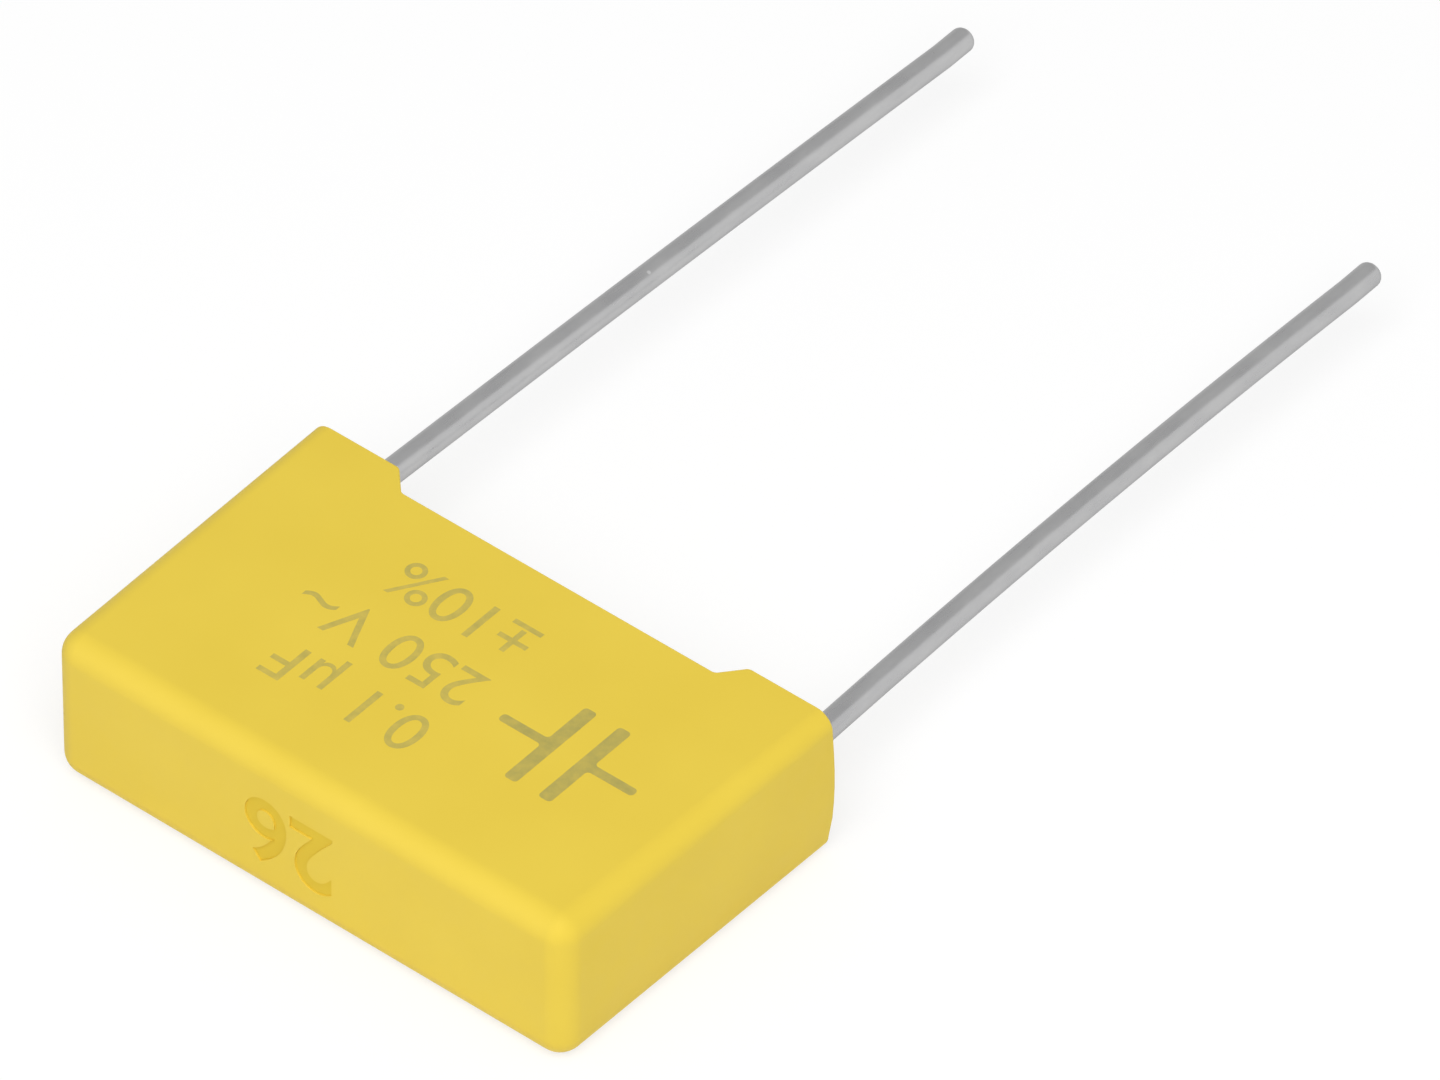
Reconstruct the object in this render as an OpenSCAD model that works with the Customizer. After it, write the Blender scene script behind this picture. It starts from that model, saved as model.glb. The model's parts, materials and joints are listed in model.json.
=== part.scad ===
// Boxed film capacitor with two long leads, in millimetres.
// It lies on a broad side: X runs along the lead pitch, Y along the leads, Z through the thickness.
// The origin is the centre of the broad side that it rests on.

/* [Case] */
// Height of the case, from its closed end to its feet
case_h = 11; // [8:0.5:16]
// Thickness of the case, between its broad sides
case_t = 5; // [4:0.25:10]
// From a lead's axis to the end of the case beside it
end_margin = 1.5; // [1.4:0.05:3]
// How far each end leans in, from the feet to where the closed end's rounding starts
end_draft = 0.11; // [0:0.01:0.15]
// Thickness of the broad walls, and of the end walls at the feet
wall = 0.5; // [0.4:0.05:0.8]
// Thickness of the closed end
closed_wall = 0.6; // [0.4:0.05:1.2]
// Radius of the outer edges and of the ball corners
edge_r = 0.7; // [0.4:0.05:1.2]
// Radius of the corners inside the case
inner_r = 0.2; // [0.1:0.05:0.5]

/* [Feet and notch] */
// How far the feet stand past the notch
foot_h = 0.72; // [0.4:0.02:1.2]
// Width of each foot along the pitch
foot_w = 2.87; // [2:0.01:4.5]
// Slope of the notch's ramps against the seating plane
ramp_angle = 45; // [35:1:70]

/* [Resin] */
// From the notch down to the surface of the resin
resin_drop = 0.4; // [0.2:0.05:0.8]
// Resin over the broad sides of the winding
side_cover = 0.3; // [0.15:0.05:0.6]
// Resin between the winding and the closed end
closed_cover = 0.4; // [0.2:0.05:1]
// Resin between the winding and the surface
top_cover = 0.9; // [0.6:0.05:2]

/* [Winding] */
// Thickness of the sprayed metal on each end of the winding
spray_t = 0.4; // [0.2:0.05:0.8]

/* [Leads] */
// Distance between the leads where they pass the feet
lead_pitch = 15; // [10:0.5:22.5]
// Diameter of the wire
lead_d = 0.76; // [0.6:0.02:1]
// Radius round the cut end of a lead
tip_r = 0.25; // [0.05:0.01:0.29]
// Thickness of a lead's flattened inner end
tail_t = 0.44; // [0.3:0.02:0.5]
// Length of the flattened end that is welded to the sprayed metal
weld_l = 5; // [2:0.25:7]
// From the resin's surface down to where the flattening ends
root_depth = 0.05; // [0.02:0.01:0.2]

/* [Left lead] */
// Free length past the feet
left_lead_l = 26; // [4:0.1:35]
// How far it sits above the middle of the thickness
left_rise = 0.55; // [0:0.05:0.7]
// How far its wire leans towards the right lead, in degrees
left_lean = 0.8; // [0:0.1:2]
// How far its wire drops towards the side that the case lies on, in degrees
left_drop = 1.1; // [0:0.1:2]

/* [Right lead] */
// Free length past the feet
right_lead_l = 25.5; // [4:0.1:35]
// How far it sits above the middle of the thickness
right_rise = 0; // [0:0.05:0.7]
// How far its wire leans towards the left lead, in degrees
right_lean = 0; // [0:0.1:2]
// How far its wire drops towards the side that the case lies on, in degrees
right_drop = 0; // [0:0.1:2]

/* [Hidden] */
$fn = 96;
// Overall width of the case at its feet, along the pitch
case_w = lead_pitch + 2 * end_margin;
mid_z = case_t / 2;
// Planes along the leads, from the closed end to the feet
closed_y = -case_h / 2;
cavity_y = closed_y + closed_wall;
seat_y = case_h / 2;
notch_y = seat_y - foot_h;
resin_y = notch_y - resin_drop;
// Core of the case, inside its rounded sides: half its width at the closed end and at the feet
core_x0 = case_w / 2 - edge_r - end_draft;
core_x1 = case_w / 2 - edge_r;
core_y0 = closed_y + edge_r;
// Lean of the ends against the leads
draft_angle = atan(end_draft / (seat_y - core_y0));
// Inside of the case
cavity_w = case_w - 2 * wall;
cavity_t = case_t - 2 * wall;
// Flattened roll, between the two sprayed layers
winding_t = cavity_t - 2 * side_cover;
winding_y0 = cavity_y + closed_cover;
winding_y1 = resin_y - top_cover;
winding_x = lead_pitch / 2 - tail_t / 2 - spray_t;
// A lead's flattened end keeps the wire's cross section, so it is wider than the wire
lead_r = lead_d / 2;
tail_w = tail_t + PI * (lead_r * lead_r - tail_t * tail_t / 4) / tail_t;
tail_y0 = winding_y1 - weld_l;
tail_y1 = resin_y - root_depth;
// The round wire starts a little lower, so that it still meets the flattened end where it leans
root_y = tail_y1 - lead_r / 5;

// Half width of the notch at a plane along the leads
function notch_half(y) = case_w / 2 - foot_w + (y - seat_y) / tan(ramp_angle);

// Stands what is drawn along Z on the plane y0, along Y and at half the thickness
module along_y(y0) {
    translate([0, y0, mid_z])
        rotate([-90, 0, 0])
            children();
}

// Quarter of a disc, in the first quadrant
module quarter(r) {
    intersection() {
        circle(r);
        square(r);
    }
}

// Rectangle with round corners, from pieces that meet edge to edge
module round_rect(w, t, r) {
    square([w, t - 2 * r], center = true);
    square([w - 2 * r, t], center = true);
    for (sx = [-1, 1])
        for (sy = [-1, 1])
            scale([sx, sy])
                translate([w / 2 - r, t / 2 - r])
                    quarter(r);
}

// Oval of w by t with half-round ends on its longer way
module oval(w, t) {
    r = min(w, t) / 2;
    lying = w > t;
    square([lying ? w - 2 * r : w, lying ? t : t - 2 * r], center = true);
    for (s = [-1, 1])
        translate([s * (w / 2 - r), s * (t / 2 - r)])
            circle(r);
}

// Section of a rounded side of the case, from the core outwards, with a quarter-round at each broad side
module edge_section() {
    translate([0, edge_r])
        square([edge_r, case_t - 2 * edge_r]);
    translate([0, case_t - edge_r])
        quarter(edge_r);
    translate([0, edge_r])
        mirror([0, 1])
            quarter(edge_r);
}

// Turns what is drawn along Y to the lean of the right end
module leaning() {
    rotate([0, 0, -draft_angle])
        children();
}

// Right end of the case, cut off past the feet
module drafted_end() {
    end_l = case_h / cos(draft_angle);
    difference() {
        translate([core_x0, core_y0, 0])
            leaning()
                translate([0, end_l, 0])
                    rotate([90, 0, 0])
                        linear_extrude(end_l)
                            edge_section();
        translate([0, seat_y, -edge_r])
            cube([case_w, case_h, case_t + 2 * edge_r]);
    }
}

// Corner between the closed end and the right end, with an eighth of a ball at each broad side
module closed_corner() {
    translate([core_x0, core_y0, 0])
        difference() {
            rotate([0, 0, -90])
                rotate_extrude(angle = 90)
                    edge_section();
            leaning()
                translate([-edge_r, 0, -edge_r])
                    cube([3 * edge_r, 2 * edge_r, case_t + 2 * edge_r]);
        }
}

// Rounded side of the closed end, between its corners
module closed_end() {
    translate([-core_x0, core_y0, 0])
        rotate([90, 0, 90])
            linear_extrude(2 * core_x0)
                mirror([1, 0])
                    edge_section();
}

// Block that the case is hollowed from: a core with rounded sides set round it, face to face
module case_block() {
    linear_extrude(case_t)
        polygon([[-core_x0, core_y0], [core_x0, core_y0], [core_x1, seat_y], [-core_x1, seat_y]]);
    closed_end();
    for (s = [-1, 1])
        scale([s, 1, 1]) {
            closed_corner();
            drafted_end();
        }
}

// Inside of the case, from the closed end up to a plane
module cavity(top_y) {
    along_y(cavity_y)
        linear_extrude(top_y - cavity_y)
            round_rect(cavity_w, cavity_t, inner_r);
}

// Notch through both broad walls, with a ramp to each foot, cut from beyond the feet
module notch() {
    beyond = seat_y + foot_h;
    translate([0, 0, -wall])
        linear_extrude(case_t + 2 * wall)
            polygon([
                [-notch_half(notch_y), notch_y],
                [notch_half(notch_y), notch_y],
                [notch_half(beyond), beyond],
                [-notch_half(beyond), beyond]
            ]);
}

module case() {
    color([0.90, 0.80, 0.30])
        difference() {
            case_block();
            cavity(seat_y + wall);
            notch();
        }
}

// Stretch of the flattened roll between two planes across the pitch
module roll(x0, x1) {
    translate([x0, (winding_y0 + winding_y1) / 2, mid_z])
        rotate([90, 0, 90])
            linear_extrude(x1 - x0)
                oval(winding_y1 - winding_y0, winding_t);
}

module film_winding() {
    color([0.86, 0.85, 0.80])
        roll(-winding_x, winding_x);
}

module left_end_spray() {
    color([0.60, 0.60, 0.59])
        roll(-winding_x - spray_t, -winding_x);
}

module right_end_spray() {
    color([0.60, 0.60, 0.59])
        roll(winding_x, winding_x + spray_t);
}

// Round wire along Z, with its cut end rounded
module wire(l) {
    core_r = lead_r - tip_r;
    rotate_extrude() {
        square([core_r, l]);
        translate([core_r, 0])
            square([tip_r, l - tip_r]);
        translate([core_r, l - tip_r])
            quarter(tip_r);
    }
}

// One lead: a flattened end against the sprayed metal, then round wire that leans from the seating plane
module lead(side, free_l, rise, lean, drop) {
    sunk_l = seat_y - root_y;
    translate([side * lead_pitch / 2, 0, rise]) {
        along_y(tail_y0)
            linear_extrude(tail_y1 - tail_y0)
                oval(tail_t, tail_w);
        along_y(seat_y)
            rotate([-drop, -side * lean, 0])
                translate([0, 0, -sunk_l])
                    wire(sunk_l + free_l);
    }
}

module left_lead() {
    color([0.69, 0.69, 0.70])
        lead(-1, left_lead_l, left_rise, left_lean, left_drop);
}

module right_lead() {
    color([0.69, 0.69, 0.70])
        lead(1, right_lead_l, right_rise, right_lean, right_drop);
}

module potting() {
    color([0.84, 0.76, 0.46])
        difference() {
            cavity(resin_y);
            roll(-winding_x - spray_t, winding_x + spray_t);
            left_lead();
            right_lead();
        }
}

case();
potting();
film_winding();
left_end_spray();
right_end_spray();
left_lead();
right_lead();
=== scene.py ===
"""Boxed film capacitor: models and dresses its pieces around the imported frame, and sets up the studio.

Every length is in metres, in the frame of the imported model: X along the lead pitch, Y along the leads, Z up.
"""

import json
import logging
import math
from collections.abc import Callable, Iterator
from contextlib import contextmanager
from dataclasses import dataclass, field
from enum import Enum

import bmesh
import bpy
from mathutils import Matrix, Vector


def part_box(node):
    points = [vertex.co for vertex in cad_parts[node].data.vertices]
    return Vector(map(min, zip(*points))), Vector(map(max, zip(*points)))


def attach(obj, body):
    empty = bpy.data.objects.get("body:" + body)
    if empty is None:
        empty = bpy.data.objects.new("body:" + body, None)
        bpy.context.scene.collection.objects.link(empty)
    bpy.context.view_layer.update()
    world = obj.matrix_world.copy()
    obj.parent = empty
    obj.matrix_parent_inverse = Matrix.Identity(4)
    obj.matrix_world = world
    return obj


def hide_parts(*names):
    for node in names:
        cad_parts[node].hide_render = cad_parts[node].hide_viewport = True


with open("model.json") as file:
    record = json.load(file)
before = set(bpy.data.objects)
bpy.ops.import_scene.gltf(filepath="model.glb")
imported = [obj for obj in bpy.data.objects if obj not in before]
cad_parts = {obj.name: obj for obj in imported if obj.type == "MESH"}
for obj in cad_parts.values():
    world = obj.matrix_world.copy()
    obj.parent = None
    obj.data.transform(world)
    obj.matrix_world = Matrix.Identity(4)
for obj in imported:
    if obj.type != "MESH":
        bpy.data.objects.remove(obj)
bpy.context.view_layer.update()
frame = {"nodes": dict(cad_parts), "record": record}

LOG = logging.getLogger("film_capacitor")
MM = 0.001
MICRON = 0.000001
BODY = "root"
ACROSS = Vector((1, 0, 0))
ALONG = Vector((0, 1, 0))
UP = Vector((0, 0, 1))
# Least share of a face's normal along an axis at which the face counts as looking that way
FACING = 0.9

Rgb = tuple[float, float, float]
Point = tuple[float, float, float]
Material = bpy.types.Material
Socket = bpy.types.NodeSocket


class Pick(Enum):
    """What a selection in edit mode takes."""

    VERTS = "VERT"
    EDGES = "EDGE"
    FACES = "FACE"


class Light(Enum):
    """What a lamp does to the surfaces: it lights them, or it only shows in their shine."""

    SHADE = "shade"
    SHINE = "shine"


class Side(Enum):
    """One of the two ends of the case, along the pitch."""

    LEFT = "left"
    RIGHT = "right"


class Workbench:
    """One mesh under the modelling operators, with selection by place and direction.

    Attributes:
        flat_angle: Largest angle between faces that are joined as one flat.
        smooth_angle: Largest angle between faces that are shaded as one surface.
    """

    flat_angle: float = math.radians(0.5)
    smooth_angle: float = math.radians(50)

    def __init__(self, name: str) -> None:
        """Takes the mesh that was just added.

        Args:
            name: The piece's name.
        """
        self.obj = bpy.context.active_object
        self.obj.name = name
        self.obj.data.name = name

    @staticmethod
    def clear() -> None:
        """Deselects everything, so that an operator acts on the new piece alone."""
        bpy.ops.object.select_all(action="DESELECT")

    @classmethod
    def block(cls, name: str, low: Vector, high: Vector) -> "Workbench":
        """Adds a block between two corners.

        Args:
            name: The piece's name.
            low: Lowest corner.
            high: Highest corner.

        Returns:
            The block on a bench of its own.
        """
        cls.clear()
        bpy.ops.mesh.primitive_cube_add(size=1, location=(low + high) / 2, scale=high - low)
        bench = cls(name)
        bench.settle()
        return bench

    @classmethod
    def rod(
        cls, name: str, base: Vector, axis: Vector, radius: float, length: float, sides: int
    ) -> "Workbench":
        """Adds a round rod that starts at a point and runs along an axis.

        Args:
            name: The piece's name.
            base: Centre of the rod's first end.
            axis: Direction of the rod.
            radius: Radius of the rod.
            length: Length of the rod.
            sides: Number of sides round it.

        Returns:
            The rod on a bench of its own.
        """
        cls.clear()
        turn = UP.rotation_difference(axis).to_euler()
        bpy.ops.mesh.primitive_cylinder_add(
            vertices=sides, radius=radius, depth=length, location=base + axis * length / 2, rotation=turn
        )
        bench = cls(name)
        bench.settle()
        return bench

    def take(self) -> None:
        """Selects the piece alone and makes it the active one."""
        self.clear()
        self.obj.select_set(True)
        bpy.context.view_layer.objects.active = self.obj

    def settle(self) -> None:
        """Puts the object's place, turn and size into its mesh."""
        self.take()
        bpy.ops.object.transform_apply(location=True, rotation=True, scale=True)

    @contextmanager
    def editing(self) -> Iterator[None]:
        """Holds the mesh in edit mode."""
        self.take()
        bpy.ops.object.mode_set(mode="EDIT")
        try:
            yield
        finally:
            bpy.ops.object.mode_set(mode="OBJECT")

    def pick(self, kind: Pick, test: Callable[[Vector, Vector], bool]) -> None:
        """Selects what passes a test, and nothing else.

        Args:
            kind: Vertices, edges or faces.
            test: Gets place and normal of a vertex or face, or both ends of an edge.
        """
        bpy.ops.mesh.select_mode(type=kind.value)
        bpy.ops.mesh.select_all(action="DESELECT")
        mesh = bmesh.from_edit_mesh(self.obj.data)
        if kind is Pick.FACES:
            found = [f for f in mesh.faces if test(f.calc_center_median(), f.normal)]
        elif kind is Pick.EDGES:
            found = [e for e in mesh.edges if test(e.verts[0].co, e.verts[1].co)]
        else:
            found = [v for v in mesh.verts if test(v.co, v.normal)]
        for element in found:
            element.select_set(True)
        mesh.select_flush_mode()
        bmesh.update_edit_mesh(self.obj.data)

    def extrude(self, move: Vector) -> None:
        """Extrudes the selected faces by a vector."""
        bpy.ops.mesh.extrude_region_move(TRANSFORM_OT_translate={"value": tuple(move)})

    def round_edges(self, radius: float, segments: int) -> None:
        """Rounds the selected edges."""
        bpy.ops.mesh.bevel(offset=radius, segments=segments, affect="EDGES", clamp_overlap=False)

    def cut(self, way: Vector, places: list[float]) -> None:
        """Cuts the whole mesh by planes, where it stays joined.

        Args:
            way: Axis that the planes stand across.
            places: Where they stand along it.
        """
        for place in places:
            bpy.ops.mesh.select_all(action="SELECT")
            bpy.ops.mesh.bisect(plane_co=way * place, plane_no=way)

    def join_flats(self) -> None:
        """Joins faces that lie in one plane."""
        bpy.ops.mesh.select_all(action="SELECT")
        bpy.ops.mesh.dissolve_limited(angle_limit=self.flat_angle)

    def close_seams(self) -> None:
        """Merges doubled corners and turns every face outwards."""
        bpy.ops.mesh.select_all(action="SELECT")
        bpy.ops.mesh.remove_doubles(threshold=MICRON)
        bpy.ops.mesh.normals_make_consistent(inside=False)

    def break_edges(self, width: float, segments: int, angle: float) -> None:
        """Breaks every edge sharper than an angle with a bevel modifier, and applies it.

        Args:
            width: Width of the bevel.
            segments: Number of faces round it.
            angle: Sharpest angle that is left alone, in radians.
        """
        bevel = self.obj.modifiers.new("broken_edges", "BEVEL")
        bevel.width = width
        bevel.segments = segments
        bevel.limit_method = "ANGLE"
        bevel.angle_limit = angle
        self.apply(bevel)

    def smooth(self) -> None:
        """Shades the mesh smooth between its sharp edges, with normals that keep its broad faces flat."""
        self.take()
        bpy.ops.object.shade_smooth_by_angle(angle=self.smooth_angle)
        normals = self.obj.modifiers.new("even_normals", "WEIGHTED_NORMAL")
        normals.keep_sharp = True
        self.apply(normals)

    def apply(self, modifier: bpy.types.Modifier) -> None:
        """Applies a modifier to the mesh."""
        bpy.context.view_layer.objects.active = self.obj
        bpy.ops.object.modifier_apply(modifier=modifier.name)

    def set_on(self, place: Matrix) -> None:
        """Puts what was drawn flat in its place."""
        self.obj.matrix_world = place
        self.settle()

    def cut_out(self, tool: "Workbench") -> None:
        """Cuts another piece's shape out of the mesh, and clears that piece away.

        Args:
            tool: The piece that cuts.
        """
        cut = self.obj.modifiers.new("cut_out", "BOOLEAN")
        cut.operation = "DIFFERENCE"
        cut.solver = "EXACT"
        cut.use_self = True
        cut.object = tool.obj
        self.apply(cut)
        bpy.data.objects.remove(tool.obj)

    def finish(self, slot: str, material: Material, *nodes: str) -> None:
        """Dresses the piece and puts it on the body.

        Args:
            slot: The record's material slot; not used.
            material: The piece's finish.
            *nodes: CAD nodes that the piece stands for.
        """
        self.obj.data.materials.clear()
        self.obj.data.materials.append(material)
        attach(self.obj, BODY)
        if nodes:
            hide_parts(*nodes)
        LOG.info("%s: %d faces", self.obj.name, len(self.obj.data.polygons))


class NodeSheet:
    """The node tree of one material, filled node by node.

    Attributes:
        fine_share: How strongly each finer layer of a noise shows.
        middle: Stretch of a noise's range that most of its values lie in.
    """

    fine_share: float = 0.55
    middle: tuple[float, float] = (0.3, 0.7)

    def __init__(self, name: str) -> None:
        """Starts from a plain shader.

        Args:
            name: The material's name.
        """
        self.material = bpy.data.materials.new(name)
        self.material.use_nodes = True
        self.tree = self.material.node_tree
        self.shader = self.tree.nodes["Principled BSDF"]

    def plug(self, socket: Socket, value: object) -> None:
        """Sets an input, or links it.

        Args:
            socket: The input.
            value: Its value, or the output that it is linked to.
        """
        if isinstance(value, Socket):
            self.tree.links.new(value, socket)
        else:
            socket.default_value = value

    def add(self, kind: str, **inputs: object) -> bpy.types.Node:
        """Adds a node and sets or links its inputs.

        Args:
            kind: The node's type.
            **inputs: Values or sockets, by the input's name with underscores for spaces.

        Returns:
            The new node.
        """
        node = self.tree.nodes.new(kind)
        for name, value in inputs.items():
            self.plug(node.inputs[name.replace("_", " ")], value)
        return node

    def feed(self, name: str, value: object) -> None:
        """Sets or links an input of the shader."""
        self.plug(self.shader.inputs[name], value)

    def place(self, stretch: Point = (1, 1, 1)) -> Socket:
        """Object coordinates, stretched along the axes."""
        coordinates = self.tree.nodes.new("ShaderNodeTexCoord").outputs["Object"]
        return self.add("ShaderNodeMapping", Vector=coordinates, Scale=stretch).outputs["Vector"]

    def noise(self, grain: float, detail: float, stretch: Point = (1, 1, 1)) -> Socket:
        """Soft noise over the surface.

        Args:
            grain: Size of its patches.
            detail: How many finer layers it has.
            stretch: Scale of the pattern along the axes.

        Returns:
            The noise's height, from 0 to 1.
        """
        node = self.add(
            "ShaderNodeTexNoise",
            Vector=self.place(stretch),
            Scale=1 / grain,
            Detail=detail,
            Roughness=self.fine_share,
        )
        return node.outputs["Fac"]

    def specks(self, spacing: float, radius: float) -> Socket:
        """Small round spots, scattered over the surface.

        Args:
            spacing: About how far they lie apart.
            radius: Radius of a spot.

        Returns:
            How far inside a spot a point lies, from 0 at its rim to 1.
        """
        cells = self.add("ShaderNodeTexVoronoi", Vector=self.place(), Scale=1 / spacing)
        rim = radius / spacing
        node = self.add("ShaderNodeMapRange", Value=cells.outputs["Distance"], From_Min=rim, From_Max=rim / 2)
        return node.outputs["Result"]

    def cover(self, factor: Socket, under: Socket, over: Rgb) -> Socket:
        """Lays a colour over another, as far as a factor says."""
        return self.add("ShaderNodeMixRGB", Fac=factor, Color1=under, Color2=(*over, 1)).outputs["Color"]

    def tint(self, factor: Socket, first: Rgb, last: Rgb) -> Socket:
        """Runs between two colours over the middle of a factor's range.

        Args:
            factor: Where between the two.
            first: Colour at the low end.
            last: Colour at the high end.

        Returns:
            The colour.
        """
        ramp = self.add("ShaderNodeValToRGB", Fac=factor)
        for stop, place, colour in zip(ramp.color_ramp.elements, self.middle, (first, last)):
            stop.position = place
            stop.color = (*colour, 1)
        return ramp.outputs["Color"]

    def span(self, factor: Socket, low: float, high: float) -> Socket:
        """Maps the middle of a factor's range to a range of values.

        Args:
            factor: Where in the range.
            low: Value at the low end.
            high: Value at the high end.

        Returns:
            The value.
        """
        least, most = self.middle
        node = self.add(
            "ShaderNodeMapRange", Value=factor, From_Min=least, From_Max=most, To_Min=low, To_Max=high
        )
        return node.outputs["Result"]

    def bump(self, *layers: tuple[Socket, float]) -> None:
        """Stacks heights on the shader's normal.

        Args:
            *layers: Each layer's height socket and its depth.
        """
        normal = None
        for height, depth in layers:
            node = self.add("ShaderNodeBump", Height=height, Distance=depth)
            if normal:
                self.tree.links.new(normal, node.inputs["Normal"])
            normal = node.outputs["Normal"]
        self.feed("Normal", normal)


@dataclass(frozen=True)
class SatinPlastic:
    """Satin moulded plastic with the fine eroded skin of its mould.

    Attributes:
        satin: Least and greatest roughness.
        cloud: Size of the patches in its colour.
        skin: Size of its grain.
        sink: Size of the broad hollows that it shrank into.
    """

    name: str = "satin_yellow_plastic"
    pale: Rgb = (0.815, 0.608, 0.068)
    deep: Rgb = (0.79, 0.583, 0.061)
    satin: tuple[float, float] = (0.50, 0.58)
    specular: float = 0.26
    cloud: float = 4 * MM
    skin: float = 0.09 * MM
    skin_depth: float = 1.2 * MICRON
    sink: float = 6 * MM
    sink_depth: float = 12 * MICRON

    def material(self) -> Material:
        """Builds the finish.

        Returns:
            The material.
        """
        sheet = NodeSheet(self.name)
        sheet.feed("Base Color", sheet.tint(sheet.noise(self.cloud, detail=2), self.deep, self.pale))
        sheet.feed("Roughness", sheet.span(sheet.noise(self.cloud / 4, detail=3), *self.satin))
        sheet.feed("Specular IOR Level", self.specular)
        sheet.bump(
            (sheet.noise(self.sink, detail=0), self.sink_depth),
            (sheet.noise(self.skin, detail=2), self.skin_depth),
        )
        return sheet.material


@dataclass(frozen=True)
class MarkedPlastic:
    """Plastic that a marking beam has browned, a little blotchy."""

    name: str = "marked_plastic"
    light: Rgb = (0.54, 0.43, 0.083)
    dark: Rgb = (0.41, 0.35, 0.083)
    blotch: float = 0.3 * MM
    grain: float = 0.05 * MM
    grain_depth: float = 3 * MICRON
    roughness: float = 0.55

    def material(self) -> Material:
        """Builds the finish.

        Returns:
            The material.
        """
        sheet = NodeSheet(self.name)
        sheet.feed("Base Color", sheet.tint(sheet.noise(self.blotch, detail=4), self.dark, self.light))
        sheet.feed("Roughness", self.roughness)
        sheet.bump((sheet.noise(self.grain, detail=2), self.grain_depth))
        return sheet.material


@dataclass(frozen=True)
class TinnedWire:
    """Tin over drawn wire: soft grey metal with fine lines along its length and a few nicks, painted pale as
    glints.

    Attributes:
        edge_tint: Colour of its shine at a grazing angle.
        polish: Least and greatest roughness.
        blotch_draw: Scale of the blotches along the axes, drawn out along the wire.
        dent_draw: The same for the waves and dents.
        line_draw: The same for the lines.
        bare_and_glint: Colour of a nick.
    """

    bright: Rgb = (0.54, 0.54, 0.54)
    dull: Rgb = (0.47, 0.47, 0.475)
    edge_tint: Rgb = (0.64, 0.64, 0.64)
    polish: tuple[float, float] = (0.24, 0.36)
    blotch: float = 0.5 * MM
    line: float = 0.05 * MM
    line_depth: float = 1.1 * MICRON
    wave: float = 1.2 * MM
    wave_depth: float = 18 * MICRON
    dent: float = 0.4 * MM
    dent_depth: float = 5 * MICRON
    blotch_draw: Point = (1, 0.4, 1)
    dent_draw: Point = (1, 0.5, 1)
    line_draw: Point = (1, 0.06, 1)
    # Colour of the nicks: bare metal, painted pale to stand in for the glints they catch
    bare_and_glint: Rgb = (0.75, 0.75, 0.75)
    nick: float = 0.075 * MM
    nick_spacing: float = 1.3 * MM

    def material(self) -> Material:
        """Builds the finish.

        Returns:
            The material.
        """
        sheet = NodeSheet("tinned_wire")
        blotches = sheet.noise(self.blotch, 4, self.blotch_draw)
        tin = sheet.tint(blotches, self.dull, self.bright)
        # Pale spots on the tin: nicks whose glints are painted into the colour
        sheet.feed("Base Color", sheet.cover(sheet.specks(self.nick_spacing, self.nick), tin, self.bare_and_glint))
        sheet.feed("Metallic", 1)
        sheet.feed("Specular Tint", (*self.edge_tint, 1))
        sheet.feed("Roughness", sheet.span(blotches, *self.polish))
        sheet.bump(
            (sheet.noise(self.wave, 1, self.dent_draw), self.wave_depth),
            (sheet.noise(self.dent, 2, self.dent_draw), self.dent_depth),
            (sheet.noise(self.line, 2, self.line_draw), self.line_depth),
        )
        return sheet.material


@dataclass(frozen=True)
class CastResin:
    """Cast resin: pale, glossy, slightly uneven and cloudy.

    Attributes:
        gloss: Least and greatest roughness.
    """

    pale: Rgb = (0.68, 0.55, 0.20)
    deep: Rgb = (0.58, 0.45, 0.13)
    gloss: tuple[float, float] = (0.14, 0.26)
    cloud: float = 1.6 * MM
    ripple: float = 1.5 * MM
    ripple_depth: float = 25 * MICRON

    def material(self) -> Material:
        """Builds the finish.

        Returns:
            The material.
        """
        sheet = NodeSheet("cast_resin")
        sheet.feed("Base Color", sheet.tint(sheet.noise(self.cloud, detail=4), self.deep, self.pale))
        sheet.feed("Roughness", sheet.span(sheet.noise(self.cloud / 3, detail=3), *self.gloss))
        sheet.bump((sheet.noise(self.ripple, detail=2), self.ripple_depth))
        return sheet.material


@dataclass(frozen=True)
class WoundFilm:
    """Metallised film on a roll, with the edges of its turns across it."""

    light: Rgb = (0.70, 0.68, 0.60)
    dark: Rgb = (0.50, 0.49, 0.45)
    turn: float = 0.06 * MM
    turn_depth: float = 6 * MICRON
    turn_draw: Point = (0.02, 1, 1)
    roughness: float = 0.3
    metallic: float = 0.4

    def material(self) -> Material:
        """Builds the finish.

        Returns:
            The material.
        """
        sheet = NodeSheet("wound_film")
        turns = sheet.noise(self.turn, 2, self.turn_draw)
        sheet.feed("Base Color", sheet.tint(turns, self.dark, self.light))
        sheet.feed("Roughness", self.roughness)
        sheet.feed("Metallic", self.metallic)
        sheet.bump((turns, self.turn_depth))
        return sheet.material


@dataclass(frozen=True)
class SprayedMetal:
    """Metal sprayed on the roll's ends, dull and grainy."""

    light: Rgb = (0.40, 0.40, 0.39)
    dark: Rgb = (0.24, 0.24, 0.235)
    grain: float = 0.12 * MM
    grain_depth: float = 30 * MICRON
    roughness: float = 0.6
    metallic: float = 0.9

    def material(self) -> Material:
        """Builds the finish.

        Returns:
            The material.
        """
        sheet = NodeSheet("sprayed_metal")
        grains = sheet.noise(self.grain, detail=4)
        sheet.feed("Base Color", sheet.tint(grains, self.dark, self.light))
        sheet.feed("Roughness", self.roughness)
        sheet.feed("Metallic", self.metallic)
        sheet.bump((grains, self.grain_depth))
        return sheet.material


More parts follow.
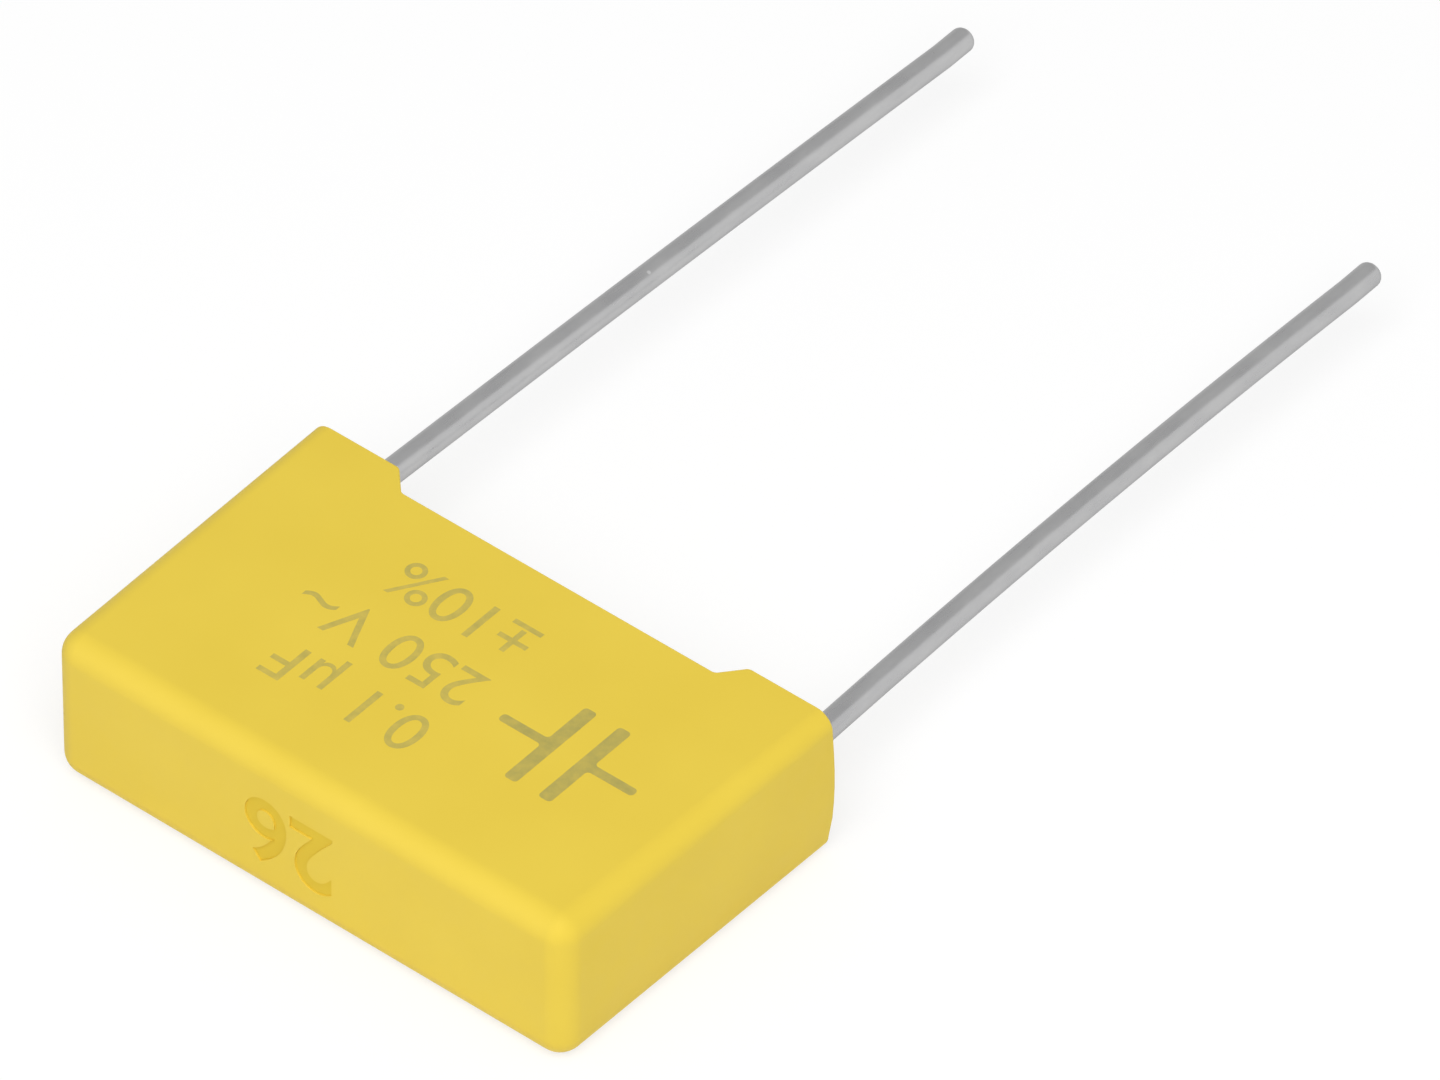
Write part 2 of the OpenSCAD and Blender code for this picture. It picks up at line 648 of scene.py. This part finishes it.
@dataclass(frozen=True)
class Line:
    """One line of figures: its text, the height of its figures, its place as read upright, and its weight."""

    name: str
    text: str
    height: float
    right: float
    up: float
    heavier: float = 0
    figure_share: float = 0.7

    def write(self, half_depth: float) -> Workbench:
        """Writes the line flat, as a closed mesh.

        Args:
            half_depth: How far its strokes reach to either side of the plane.

        Returns:
            The line on a bench of its own.
        """
        Workbench.clear()
        bpy.ops.object.text_add()
        text = bpy.context.active_object.data
        text.body = self.text
        text.size = self.height / self.figure_share
        text.extrude = half_depth
        text.offset = self.heavier
        bpy.ops.object.convert(target="MESH")
        bench = Workbench(self.name)
        with bench.editing():
            bench.close_seams()
            bpy.ops.mesh.select_all(action="SELECT")
            bpy.ops.transform.translate(value=(self.right, self.up, 0))
        return bench


@dataclass
class MouldedCase:
    """Moulded box, open at the lead side, with round edges, leaning ends, two feet and a ramped notch.

    Its closed end has a mould number sunk into it, which reads upright with the leads pointing up.

    Attributes:
        edge_radius: Rounding of the outer edges at the closed end.
        rim_radius: Rounding of the long edges at the rim.
        rim_tilt: How far the rim is turned out of square.
        rim_short: How far the rim is set back.
        end_out: How far the right end's rim stands out, above its lower long edge.
        end_bulge: How far that rim bulges between its long edges.
        end_draft: How far each end leans in, from the feet to the closed end's rounding.
        notch_aside: How far the notch lies to the right of the middle.
        corner_radius: Rounding at the top and the foot of each ramp.
        rim_break: Width of the bevel on the sharp edges.
        break_angle: Sharpest angle that gets no bevel.
        groove_floor: Half the thickness of the plate on the floor of the sunk number, whose darker colour is
            painted shade.
        reach: How near a plane a point counts as on it.
    """

    finish: SatinPlastic = SatinPlastic()
    # Finish of the plate on the groove floor: its colour is painted darker than the case as painted shade in
    # the sunk number, and it shines less
    shaded_groove_finish: SatinPlastic = SatinPlastic(
        "groove_plastic_with_painted_shade", pale=(0.77, 0.56, 0.055), deep=(0.74, 0.53, 0.049), specular=0.05
    )
    edge_radius: float = 0.74 * MM
    rim_radius: float = 0.57 * MM
    rim_tilt: float = math.radians(0.2)
    rim_short: float = 0.03 * MM
    end_out: float = 0.055 * MM
    end_bulge: float = 0.11 * MM
    bulge_steps: int = 6
    edge_segments: int = 10
    end_draft: float = 0.11 * MM
    foot_height: float = 0.72 * MM
    foot_width: float = 2.91 * MM
    left_ramp_run: float = 0.68 * MM
    right_ramp_run: float = 0.6 * MM
    notch_aside: float = 0.08 * MM
    corner_radius: float = 0.22 * MM
    corner_segments: int = 6
    rim_break: float = 0.04 * MM
    break_segments: int = 3
    break_angle: float = math.radians(60)
    mould_number: Line = Line("mould_number", "26", 2.2 * MM, -1.0 * MM, -0.95 * MM, heavier=0.06 * MM)
    groove_depth: float = 0.05 * MM
    groove_floor: float = 0.02 * MM
    reach: float = 0.01 * MM

    def __post_init__(self) -> None:
        """Reads the case and its inside from the frame, and places the notch's ramps."""
        self.low, self.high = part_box("case")
        self.inner_low, self.inner_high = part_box("potting")
        self.wall = self.high.x - self.inner_high.x
        self.mid_z = (self.low.z + self.high.z) / 2
        # Planes just below the feet and just below the notch, past which their points are picked
        self.rim = self.high.y - self.reach
        self.notch = self.rim - self.foot_height
        top = self.high.x - self.foot_width
        places = (-top, self.left_ramp_run - top, top - self.right_ramp_run, top)
        self.ramps = [self.notch_aside + place for place in places]

    def build(self) -> None:
        """Models the case from a block: drafts and rounds it, hollows it and lets the notch into its rim."""
        bench = Workbench.block("case_shell", self.low, self.high)
        with bench.editing():
            self.lean_ends(bench)
            self.round_block(bench)
            self.tighten_rim(bench)
            self.hollow(bench)
            self.let_in_notch(bench)
            self.ease_ramps(bench)
            self.bulge_end(bench)
            self.tilt_rim(bench)
        bench.break_edges(self.rim_break, self.break_segments, self.break_angle)
        self.sink_number(bench)
        bench.smooth()
        bench.finish("case_plastic", self.finish.material(), "case")
        # The plate on the groove floor carries the painted shade of the sunk number
        floor = self.figures(self.groove_depth + self.groove_floor, self.groove_floor)
        floor.finish("case_plastic", self.shaded_groove_finish.material())

    def lean_ends(self, bench: Workbench) -> None:
        """Narrows the closed end, so that both ends lean in from the feet.

        Args:
            bench: The bench that holds the case.
        """
        height = self.high.y - self.low.y
        lean = self.end_draft * height / (height - self.edge_radius)
        bench.pick(Pick.FACES, lambda place, normal: normal.y < -FACING)
        bpy.ops.transform.resize(value=(1 - lean / self.high.x, 1, 1), center_override=ALONG * self.low.y)

    def round_block(self, bench: Workbench) -> None:
        """Rounds the long edges and the edges of the closed end.

        Args:
            bench: The bench that holds the case.
        """
        closed = self.low.y + self.reach
        bench.pick(Pick.EDGES, lambda a, b: (a.y < closed and b.y < closed) or abs(a.y - b.y) > self.wall)
        bench.round_edges(self.edge_radius, self.edge_segments)

    def tighten_rim(self, bench: Workbench) -> None:
        """Draws the long edges' rounding tighter towards the lead side, corner by corner.

        Args:
            bench: The bench that holds the case.
        """
        tighter = self.rim_radius / self.edge_radius
        for x in (self.low.x, self.high.x):
            for z in (self.low.z, self.high.z):
                bench.pick(
                    Pick.VERTS,
                    lambda p, n: p.y > self.rim and p.x * x > 0 and (p.z - self.mid_z) * (z - self.mid_z) > 0,
                )
                bpy.ops.transform.resize(value=[tighter] * 3, center_override=(x, self.high.y, z))

    def hollow(self, bench: Workbench) -> None:
        """Sets the lead side in by the wall and sinks it to the closed end.

        Args:
            bench: The bench that holds the case.
        """
        bench.pick(Pick.FACES, lambda place, normal: normal.y > FACING)
        bpy.ops.mesh.inset(thickness=self.wall, depth=0)
        bench.extrude(Vector((0, self.inner_low.y - self.high.y, 0)))

    def let_in_notch(self, bench: Workbench) -> None:
        """Lowers the rim between the feet, with a ramp down from each foot.

        Args:
            bench: The bench that holds the case.
        """
        bench.cut(ACROSS, self.ramps)
        first = self.ramps[1] - self.reach
        last = self.ramps[2] + self.reach
        bench.pick(Pick.VERTS, lambda place, normal: place.y > self.rim and first < place.x < last)
        bpy.ops.transform.translate(value=(0, -self.foot_height, 0))
        bench.join_flats()

    def ease_ramps(self, bench: Workbench) -> None:
        """Rounds the corners at the top and the foot of each ramp.

        Args:
            bench: The bench that holds the case.
        """
        # Each corner turns by about 45 degrees, so its rounding starts this far from it
        start = self.corner_radius * math.tan(math.radians(45) / 2)
        bench.pick(Pick.EDGES, self.is_ramp_corner)
        bench.round_edges(start, self.corner_segments)

    def bulge_end(self, bench: Workbench) -> None:
        """Sets the right end's rim out above its lower long edge, and lets it bulge between both edges.

        Args:
            bench: The bench that holds the case.
        """
        wall = (self.inner_high.x + self.high.x) / 2
        broad = (self.inner_high.z + self.high.z) / 2
        half = self.high.z - self.edge_radius - self.mid_z
        shares = [2 * step / self.bulge_steps - 1 for step in range(1, self.bulge_steps)]
        # The outside of the end is cut first, while it is still flat
        for share in shares:
            bench.pick(Pick.FACES, lambda place, normal: place.x > wall and abs(place.y) < self.high.y / 2)
            bpy.ops.mesh.bisect(plane_co=UP * (self.mid_z + share * half), plane_no=UP)
        corner = self.high.x - self.edge_radius
        above = self.low.z + self.edge_radius
        bench.pick(
            Pick.VERTS,
            lambda p, n: p.y > self.rim and p.x > corner and p.z > above and (p.x > wall or p.z > broad),
        )
        bpy.ops.transform.translate(value=ACROSS * self.end_out)
        for share in shares:
            level = self.mid_z + share * half
            bench.pick(
                Pick.VERTS, lambda p, n: p.x > wall and p.y > self.rim and abs(p.z - level) < self.reach
            )
            bpy.ops.transform.translate(value=ACROSS * self.end_bulge * (1 - share ** 2))

    def tilt_rim(self, bench: Workbench) -> None:
        """Turns the rim, feet and notch together, a little out of square, and sets it back.

        Args:
            bench: The bench that holds the case.
        """
        bench.pick(Pick.VERTS, lambda place, normal: place.y > self.notch)
        bpy.ops.transform.rotate(value=self.rim_tilt, orient_axis="Z", center_override=ALONG * self.high.y)
        bpy.ops.transform.translate(value=-ALONG * self.rim_short)

    def sink_number(self, bench: Workbench) -> None:
        """Sinks the mould number into the closed end.

        Args:
            bench: The bench that holds the case.
        """
        bench.cut_out(self.figures(0, self.groove_depth + self.groove_floor))
        with bench.editing():
            bench.close_seams()

    def figures(self, sunk: float, half_depth: float) -> Workbench:
        """Writes the mould number on the closed end.

        Args:
            sunk: How far its middle lies inside the closed end.
            half_depth: How far its strokes reach to either side of that.

        Returns:
            The figures on a bench of their own.
        """
        number = self.mould_number.write(half_depth)
        middle = Vector((0, self.low.y + sunk, self.mid_z))
        upright = Matrix((-ACROSS, -UP, -ALONG)).transposed()
        number.set_on(Matrix.Translation(middle) @ upright.to_4x4())
        return number

    def is_ramp_corner(self, a: Vector, b: Vector) -> bool:
        """Tells whether an edge crosses the wall at the top or the foot of a ramp.

        Args:
            a: One end of the edge.
            b: Its other end.

        Returns:
            True for such an edge.
        """
        middle = (a + b) / 2
        on_ramp = any(abs(middle.x - place) < self.reach for place in self.ramps)
        crosses = abs(a.z - b.z) > self.reach and abs(a.x - b.x) < self.reach
        return on_ramp and crosses and middle.y > self.notch


@dataclass
class WireLead:
    """One tinned lead: a flattened inner end in the resin, then round wire to a rounded cut end.

    Attributes:
        bow: How far the middle of the wire lies to the left of the line between its ends.
        root_aside: How far its root lies to the right of the mount's axis.
        tip_aside: How far its cut end lies to the right of that axis.
        cut_short: How much shorter it is cut than its CAD node.
        turn_up: How far its cut end turns up.
        shoulder: Length of the step from the round wire to the flattened end.
        root_depth: From the surface of the resin down to that step.
    """

    side: Side
    bow: float
    root_aside: float
    tip_aside: float
    cut_short: float
    turn_up: float = 0.06 * MM
    turned_length: float = 1.2 * MM
    finish: TinnedWire = field(default_factory=TinnedWire)
    sides: int = 64
    rings: int = 24
    tip_radius: float = 0.25 * MM
    tip_segments: int = 6
    tail_thickness: float = 0.44 * MM
    tail_width: float = 1.125 * MM
    shoulder: float = 0.08 * MM
    root_depth: float = 0.05 * MM

    def __post_init__(self) -> None:
        """Reads the wire's axis and radius from its mount, and its ends from the frame."""
        self.node = f"{self.side.value}_lead"
        mount = next(m for m in frame["record"]["mounts"] if m["name"] == self.node)
        self.seat = Vector(mount["pos_m"])
        self.axis = Vector(mount["axis"]).normalized()
        self.radius = mount["dims"]["r_mm"] * MM
        low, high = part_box(self.node)
        self.tail_end = low.y
        lean = (self.radius - self.tip_radius) * math.hypot(self.axis.x, self.axis.z)
        self.tip = high.y - lean - self.cut_short
        self.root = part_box("potting")[1].y - self.root_depth

    def straight(self, y: float) -> Vector:
        """Point of the mount's straight axis at a plane along the leads."""
        return self.seat + self.axis * ((y - self.seat.y) / self.axis.y)

    def shift(self, y: float) -> Vector:
        """Tells how far the bowed wire lies from its straight axis.

        Args:
            y: Plane along the leads.

        Returns:
            The way from the straight axis to the wire's own.
        """
        share = (y - self.root) / (self.tip - self.root)
        chord = self.root_aside + (self.tip_aside - self.root_aside) * share
        bowed = 4 * self.bow * share * (1 - share)
        turned = max(0, 1 - (self.tip - y) / self.turned_length)
        return ACROSS * (chord - bowed) + UP * self.turn_up * turned ** 2

    def at(self, y: float) -> Vector:
        """Point of the wire's own axis at a plane along the leads."""
        return self.straight(y) + self.shift(y)

    def build(self, material: Material) -> None:
        """Models the lead from a rod: rounds its cut end, bows it and flattens its inner end.

        Args:
            material: The finish of both leads.
        """
        name = f"{self.side.value}_wire"
        length = (self.tip - self.root) / self.axis.y
        bench = Workbench.rod(name, self.straight(self.root), self.axis, self.radius, length, self.sides)
        with bench.editing():
            self.round_tip(bench)
            self.bow_wire(bench)
            self.flatten_tail(bench)
        bench.smooth()
        bench.finish("tinned_wire", material, self.node)

    def round_tip(self, bench: Workbench) -> None:
        """Rounds the edge of the cut end.

        Args:
            bench: The bench that holds the lead.
        """
        plane = self.tip - self.radius / 4
        bench.pick(Pick.EDGES, lambda a, b: a.y > plane and b.y > plane)
        bench.round_edges(self.tip_radius, self.tip_segments)

    def bow_wire(self, bench: Workbench) -> None:
        """Cuts the wire into rings and moves each one aside.

        Args:
            bench: The bench that holds the lead.
        """
        step = (self.tip - self.root) / self.rings
        planes = [self.root + step * ring for ring in range(self.rings + 1)]
        bench.cut(ALONG, planes[1:-1])
        for plane in planes:
            bench.pick(Pick.VERTS, lambda place, normal: abs(place.y - plane) < step / 2)
            bpy.ops.transform.translate(value=self.shift(plane))

    def flatten_tail(self, bench: Workbench) -> None:
        """Presses the inner end flat and draws it down beside the sprayed metal.

        Args:
            bench: The bench that holds the lead.
        """
        base = self.at(self.root)
        flat = (self.tail_thickness / (2 * self.radius), 1, self.tail_width / (2 * self.radius))
        bench.pick(
            Pick.FACES,
            lambda place, normal: normal.y < -FACING and place.y < self.root + self.shoulder,
        )
        bench.extrude(Vector((0, -self.shoulder, 0)))
        bpy.ops.transform.resize(value=flat, center_override=base)
        bpy.ops.transform.translate(value=(self.seat.x - base.x, 0, self.seat.z - base.z))
        bench.extrude(Vector((0, self.tail_end - self.root + self.shoulder, 0)))


@dataclass
class ResinSurface:
    """Surface of the casting resin: it climbs a little at the walls and at the leads.

    Attributes:
        climb: How far it climbs, and how far from the wall or the wire the climb starts.
        corner: Rounding of its upright corners.
        skin: Thickness of the skin that is modelled.
        clearance: Gap between the skin and the walls.
    """

    leads: tuple[WireLead, ...]
    finish: CastResin = field(default_factory=CastResin)
    climb: float = 0.16 * MM
    steps: int = 6
    corner: float = 0.18 * MM
    skin: float = 0.01 * MM
    collar_sides: int = 48
    clearance: float = MICRON

    def __post_init__(self) -> None:
        """Reads the inside of the case and the height of the resin from the frame."""
        self.low, self.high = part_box("potting")
        self.material = self.finish.material()

    def build(self) -> None:
        """Models the surface and the collar round each lead, and dresses the resin below."""
        self.lay_surface()
        for lead in self.leads:
            self.raise_collar(lead)
        dress("potting", self.material)

    def lay_surface(self) -> None:
        """Models the skin of the resin as a shallow tray with a hollow round along its rim."""
        gap = Vector((self.clearance, 0, self.clearance))
        low = Vector((self.low.x, self.high.y, self.low.z)) + gap
        high = Vector((self.high.x, self.high.y + self.skin + self.climb, self.high.z)) - gap
        bench = Workbench.block("resin_surface", low, high)
        with bench.editing():
            bench.pick(Pick.EDGES, lambda a, b: abs(a.y - b.y) > self.climb / 2)
            bench.round_edges(self.corner, self.steps)
            bench.pick(Pick.FACES, lambda place, normal: normal.y > FACING)
            for inward, rise in self.hollow_round():
                bpy.ops.mesh.inset(thickness=inward, depth=-rise)
        bench.smooth()
        bench.finish("casting_resin", self.material)

    def raise_collar(self, lead: WireLead) -> None:
        """Models the ring of resin that climbs up one lead.

        Args:
            lead: The lead that it climbs.
        """
        foot = lead.at(self.high.y + self.skin / 2)
        ring = lead.radius + self.climb
        name = f"{lead.side.value}_collar"
        bench = Workbench.rod(name, foot, lead.axis, ring, self.skin, self.collar_sides)
        with bench.editing():
            bench.pick(Pick.FACES, lambda place, normal: normal.y > FACING)
            for rise, inward in reversed(self.hollow_round()):
                bpy.ops.mesh.inset(thickness=inward, depth=rise)
            bench.pick(Pick.FACES, lambda place, normal: normal.y < -FACING)
            bpy.ops.mesh.inset(thickness=self.climb, depth=0)
            bench.pick(Pick.FACES, lambda place, normal: self.is_core(place, normal, lead))
            bpy.ops.mesh.bridge_edge_loops()
        bench.smooth()
        bench.finish("casting_resin", self.material)

    @staticmethod
    def is_core(place: Vector, normal: Vector, lead: WireLead) -> bool:
        """Tells whether a face is one of a collar's two end faces, on the lead's axis."""
        return abs(normal.y) > FACING and (place - lead.at(place.y)).length < lead.radius / 4

    def hollow_round(self) -> list[tuple[float, float]]:
        """Steps round a hollow quarter circle, from upright to level.

        Returns:
            Each step's way inwards and its way down.
        """
        angles = [math.pi / 2 * step / self.steps for step in range(self.steps + 1)]
        return [
            (self.climb * (math.cos(a) - math.cos(b)), self.climb * (math.sin(b) - math.sin(a)))
            for a, b in zip(angles, angles[1:])
        ]


@dataclass
class Marking:
    """Plain figures and a capacitor sign on the upper broad side.

    They read upright with the leads pointing down, so right is -X.

    Attributes:
        proud: How far they stand above the plastic.
        texts: Name and text of each line, from the top.
        line_step: From one line down to the next.
    """

    case: MouldedCase
    sign_finish: MarkedPlastic = MarkedPlastic()
    line_finish: MarkedPlastic = MarkedPlastic(
        "thinly_marked_plastic", light=(0.62, 0.48, 0.08), dark=(0.48, 0.395, 0.081)
    )
    depth: float = 20 * MICRON
    proud: float = 4 * MICRON
    texts: tuple[tuple[str, str], ...] = (
        ("value_line", "0.1 µF"),
        ("rating_line", "250 V~"),
        ("tolerance_line", "±10%"),
    )
    line_height: float = 1.45 * MM
    line_right: float = -1.3 * MM
    line_up: float = 1.55 * MM
    line_step: float = 2.25 * MM
    sign_right: float = -4.6 * MM
    sign_up: float = 0.2 * MM
    plate_gap: float = 0.75 * MM
    plate_width: float = 0.42 * MM
    plate_height: float = 3.4 * MM
    branch_width: float = 0.3 * MM
    branch_length: float = 1.5 * MM
    stroke_round: float = 0.12 * MM
    stroke_segments: int = 4

    def build(self) -> None:
        """Marks the lines and the sign."""
        material = self.line_finish.material()
        for row, (name, text) in enumerate(self.texts):
            line = Line(name, text, self.line_height, self.line_right, self.line_up - self.line_step * row)
            bench = line.write(self.depth / 2)
            bench.set_on(self.broad_side())
            bench.finish("case_plastic", material)
        self.draw_sign()

    def broad_side(self) -> Matrix:
        """Finds the place on the upper broad side where what is drawn flat reads upright.

        Returns:
            The turn and the move that put it there.
        """
        sunk = self.proud - self.depth / 2
        top = Vector((0, (self.case.low.y + self.case.high.y) / 2, self.case.high.z + sunk))
        return Matrix.Translation(top) @ Matrix.Rotation(math.pi, 4, "Z")

    def draw_sign(self) -> None:
        """Models half of the capacitor sign, a plate with its branch, and turns a copy round beside it."""
        middle = Vector((self.sign_right, self.sign_up, 0))
        half = Vector((self.plate_width, self.plate_height, self.depth)) / 2
        plate = middle + ACROSS * (self.plate_gap / 2 + half.x)
        bench = Workbench.block("capacitor_sign", plate - half, plate + half)
        branch = self.branch_width / 2
        with bench.editing():
            bench.cut(ALONG, [self.sign_up - branch, self.sign_up + branch])
            bench.pick(
                Pick.FACES,
                lambda place, normal: normal.x > FACING and abs(place.y - self.sign_up) < branch,
            )
            bench.extrude(ACROSS * self.branch_length)
            bench.join_flats()
            bench.pick(Pick.EDGES, lambda a, b: abs(a.z - b.z) > self.depth / 2)
            bench.round_edges(self.stroke_round, self.stroke_segments)
            bpy.ops.mesh.select_all(action="SELECT")
            bpy.ops.mesh.duplicate()
            bpy.ops.transform.rotate(value=math.pi, orient_axis="Z", center_override=middle)
        bench.set_on(self.broad_side())
        bench.finish("case_plastic", self.sign_finish.material())


@dataclass
class WoundElement:
    """The roll of film and the sprayed metal on its ends, which the resin hides."""

    film: WoundFilm = field(default_factory=WoundFilm)
    spray: SprayedMetal = field(default_factory=SprayedMetal)

    def build(self) -> None:
        """Dresses the roll and both sprayed layers."""
        dress("film_winding", self.film.material())
        metal = self.spray.material()
        for side in Side:
            dress(f"{side.value}_end_spray", metal)


def dress(node: str, material: Material) -> None:
    """Gives a carried-over CAD node its finish.

    Args:
        node: The node's name.
        material: Its finish.
    """
    slots = frame["nodes"][node].data.materials
    slots.clear()
    slots.append(material)
    LOG.info("%s: dressed", node)


@dataclass(frozen=True)
class Softbox:
    """One soft square lamp, aimed at the object.

    Attributes:
        toward: Direction from the object to the lamp.
        level: How bright it makes a white surface that faces it.
        use: What it does to the surfaces.
    """

    name: str
    toward: Point
    level: float
    use: Light
    away: float = 0.3
    size: float = 0.24

    def light(self, target: Vector) -> None:
        """Hangs the lamp.

        Args:
            target: What it is aimed at.
        """
        direction = Vector(self.toward).normalized()
        Workbench.clear()
        bpy.ops.object.light_add(type="AREA", location=target + direction * self.away)
        lamp = bpy.context.active_object
        lamp.name = self.name
        lamp.rotation_euler = direction.to_track_quat("Z", "Y").to_euler()
        lamp.data.size = self.size
        # Power at which a white surface that faces the lamp reaches its level
        lamp.data.energy = self.level * (math.pi * self.away) ** 2
        lamp.visible_diffuse = self.use is Light.SHADE
        lamp.visible_glossy = self.use is Light.SHINE


@dataclass
class Studio:
    """Pale floor, soft light all round, softboxes, and the camera at the photograph's angle.

    Attributes:
        pixels_per_metre: Scale of the picture at the case.
        case_centre_px: Place of the case's centre in the picture.
        sensor: Width of the camera's sensor in millimetres.
        ambient: Level of the light all round.
        grey_card: Direction of the grey card that shows in reflections.
        card_edge: Nearness to that direction at which the card starts and is full.
        floor_bounce: Tone of the floor as it lights the object.
        floor_glow: Level that the seen floor has of its own.
        floor_shade: Tone with which the seen floor takes light and shadow.
    """

    azimuth: float = math.radians(40.15)
    elevation: float = math.radians(43.78)
    roll: float = math.radians(-0.13)
    distance: float = 375 * MM
    pixels_per_metre: float = 37561
    image_width: float = 1440
    image_height: float = 1080
    case_centre_px: tuple[float, float] = (439.1, 741.7)
    sensor: float = 36
    clip_start: float = 10 * MM
    floor_size: float = 6
    ambient: float = 0.45
    grey_card: Point = (-0.38, 0.45, 0.81)
    card_edge: tuple[float, float] = (0.56, 0.70)
    card_level: float = 0.68
    floor_bounce: float = 0.86
    floor_glow: float = 0.70
    floor_shade: float = 0.32
    softboxes: tuple[Softbox, ...] = (
        Softbox("key_softbox", (0.338, -0.463, 0.819), 0.80, Light.SHADE),
        Softbox("edge_softbox", (-0.466, -0.81, 0.36), 0.4, Light.SHINE, size=0.36),
    )

    def build(self) -> None:
        """Sets up everything round the object."""
        bpy.context.scene.view_settings.view_transform = "Standard"
        low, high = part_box("case")
        centre = (low + high) / 2
        self.lay_floor()
        self.light_dome()
        for box in self.softboxes:
            box.light(centre)
        self.set_camera(centre)

    def lay_floor(self) -> None:
        """Lays the floor: white to the camera and in reflections, with the object's shadow on it."""
        Workbench.clear()
        bpy.ops.mesh.primitive_plane_add(size=self.floor_size)
        bench = Workbench("studio_floor")
        sheet = NodeSheet("studio_floor")
        sheet.tree.nodes.remove(sheet.shader)
        paper = sheet.add("ShaderNodeBsdfDiffuse", Color=(*[self.floor_bounce] * 3, 1)).outputs[0]
        shade = sheet.add("ShaderNodeBsdfDiffuse", Color=(*[self.floor_shade] * 3, 1)).outputs[0]
        glow = sheet.add("ShaderNodeEmission", Strength=self.floor_glow).outputs[0]
        seen = sheet.tree.nodes.new("ShaderNodeAddShader")
        sheet.tree.links.new(shade, seen.inputs[0])
        sheet.tree.links.new(glow, seen.inputs[1])
        mix = sheet.tree.nodes.new("ShaderNodeMixShader")
        path = sheet.tree.nodes.new("ShaderNodeLightPath").outputs
        rays = ("Is Camera Ray", "Is Glossy Ray", "Is Transmission Ray")
        sheet.tree.links.new(self.greatest(sheet.tree, *[path[ray] for ray in rays]), mix.inputs[0])
        sheet.tree.links.new(paper, mix.inputs[1])
        sheet.tree.links.new(seen.outputs[0], mix.inputs[2])
        sheet.tree.links.new(mix.outputs[0], sheet.tree.nodes["Material Output"].inputs["Surface"])
        bench.obj.data.materials.append(sheet.material)

    def light_dome(self) -> None:
        """Lights the studio evenly: white to the camera, with a grey card overhead in reflections."""
        world = bpy.data.worlds.new("studio_light")
        world.use_nodes = True
        bpy.context.scene.world = world
        tree = world.node_tree
        back = tree.nodes["Background"]
        nearness = tree.nodes.new("ShaderNodeVectorMath")
        nearness.operation = "DOT_PRODUCT"
        nearness.inputs[1].default_value = Vector(self.grey_card).normalized()
        tree.links.new(tree.nodes.new("ShaderNodeTexCoord").outputs["Generated"], nearness.inputs[0])
        card = tree.nodes.new("ShaderNodeMapRange")
        card.interpolation_type = "SMOOTHSTEP"
        limits = ("From Min", "From Max", "To Min", "To Max")
        for name, value in zip(limits, (*self.card_edge, 1, self.card_level)):
            card.inputs[name].default_value = value
        tree.links.new(nearness.outputs["Value"], card.inputs["Value"])
        path = tree.nodes.new("ShaderNodeLightPath")
        passed_on = self.greatest(tree, path.outputs["Is Glossy Ray"], path.outputs["Is Transmission Ray"])
        level = tree.nodes.new("ShaderNodeMix")
        level.inputs["A"].default_value = self.ambient
        tree.links.new(passed_on, level.inputs["Factor"])
        tree.links.new(card.outputs["Result"], level.inputs["B"])
        back.inputs["Color"].default_value = (1, 1, 1, 1)
        strength = self.greatest(tree, path.outputs["Is Camera Ray"], level.outputs["Result"])
        tree.links.new(strength, back.inputs["Strength"])

    @staticmethod
    def greatest(tree: bpy.types.NodeTree, *values: Socket) -> Socket:
        """Takes the greatest of some values.

        Args:
            tree: Node tree that holds them.
            *values: The values.

        Returns:
            The greatest value.
        """
        total = values[0]
        for value in values[1:]:
            node = tree.nodes.new("ShaderNodeMath")
            node.operation = "MAXIMUM"
            tree.links.new(total, node.inputs[0])
            tree.links.new(value, node.inputs[1])
            total = node.outputs[0]
        return total

    def set_camera(self, centre: Vector) -> None:
        """Puts the camera at the photograph's angle, with the case at its place in the picture.

        Args:
            centre: Centre of the case.
        """
        level = Vector((math.sin(self.azimuth), -math.cos(self.azimuth), 0))
        back = level * math.cos(self.elevation) + UP * math.sin(self.elevation)
        right = UP.cross(back).normalized()
        stance = Matrix((right, back.cross(right), back)).transposed()
        focal_px = self.pixels_per_metre * self.distance
        aside = (self.case_centre_px[0] - self.image_width / 2) / focal_px
        below = (self.case_centre_px[1] - self.image_height / 2) / focal_px
        aim = Vector((0, 0, -1)).rotation_difference(Vector((aside, -below, -1))).to_matrix()
        turn = stance @ Matrix.Rotation(self.roll, 3, "Z") @ aim.transposed()
        Workbench.clear()
        bpy.ops.object.camera_add(location=centre + back * self.distance, rotation=turn.to_euler())
        camera = bpy.context.active_object
        camera.name = "photo_camera"
        camera.data.sensor_width = self.sensor
        camera.data.lens = self.sensor * focal_px / self.image_width
        camera.data.clip_start = self.clip_start
        bpy.context.scene.camera = camera


def main() -> None:
    """Builds each sub-assembly in order, then the studio."""
    logging.basicConfig(level=logging.INFO, format="%(name)s: %(message)s")
    case = MouldedCase()
    case.build()
    leads = (
        WireLead(Side.LEFT, bow=0.06 * MM, root_aside=0.055 * MM, tip_aside=0.145 * MM, cut_short=0.11 * MM),
        WireLead(Side.RIGHT, bow=0.23 * MM, root_aside=0.13 * MM, tip_aside=0.225 * MM, cut_short=0.08 * MM),
    )
    wire = leads[0].finish.material()
    for lead in leads:
        lead.build(wire)
    ResinSurface(leads).build()
    WoundElement().build()
    Marking(case).build()
    Studio().build()


if __name__ == "__main__":
    main()
